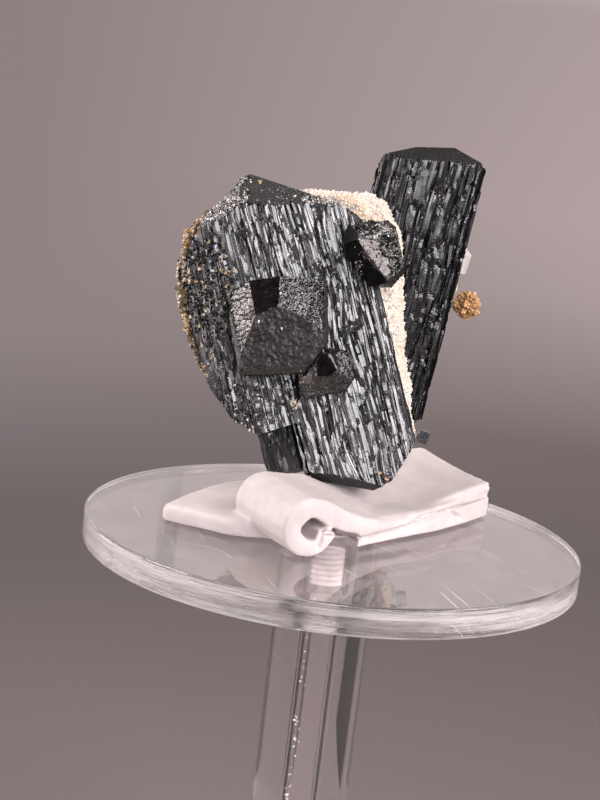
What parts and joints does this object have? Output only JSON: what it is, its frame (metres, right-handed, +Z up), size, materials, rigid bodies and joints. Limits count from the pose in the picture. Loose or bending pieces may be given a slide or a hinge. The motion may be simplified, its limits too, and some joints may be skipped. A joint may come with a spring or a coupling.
{
  "type": "ilvaite specimen",
  "caption": "Black striated ilvaite crystals on sugary quartz with dark sphalerite and a siderite ball, set in white putty on a round clear display stand.",
  "frame": {"origin": "centre of the foot's underside, on the surface it stands on", "axes": "+Z up along the rod; the specimen's display side faces -Y"},
  "size_m": [0.09, 0.09, 0.15],
  "materials": {
    "ilvaite": "black, glossy to submetallic, finely striated",
    "quartz_crust": "cream, sugary, sparkling",
    "milky_quartz": "milky white, glassy",
    "sphalerite": "brown-black, resinous",
    "siderite": "tan, finely knobbly, dull",
    "putty": "warm white, waxy matte",
    "clear_acrylic": "clear, polished, lightly scratched"
  },
  "bodies": {
    "root": {"ilvaite_front": "ilvaite", "ilvaite_back": "ilvaite", "ilvaite_chip": "ilvaite", "quartz_druse": "quartz_crust", "quartz_point": "milky_quartz", "sphalerite_large": "sphalerite", "sphalerite_small": "sphalerite", "sphalerite_drusy": "sphalerite", "siderite_ball": "siderite", "putty_strip": "putty", "clear_plate": "clear_acrylic", "clear_rod": "clear_acrylic", "clear_foot": "clear_acrylic", "clear_screw": "clear_acrylic"}
  },
  "joints": []
}
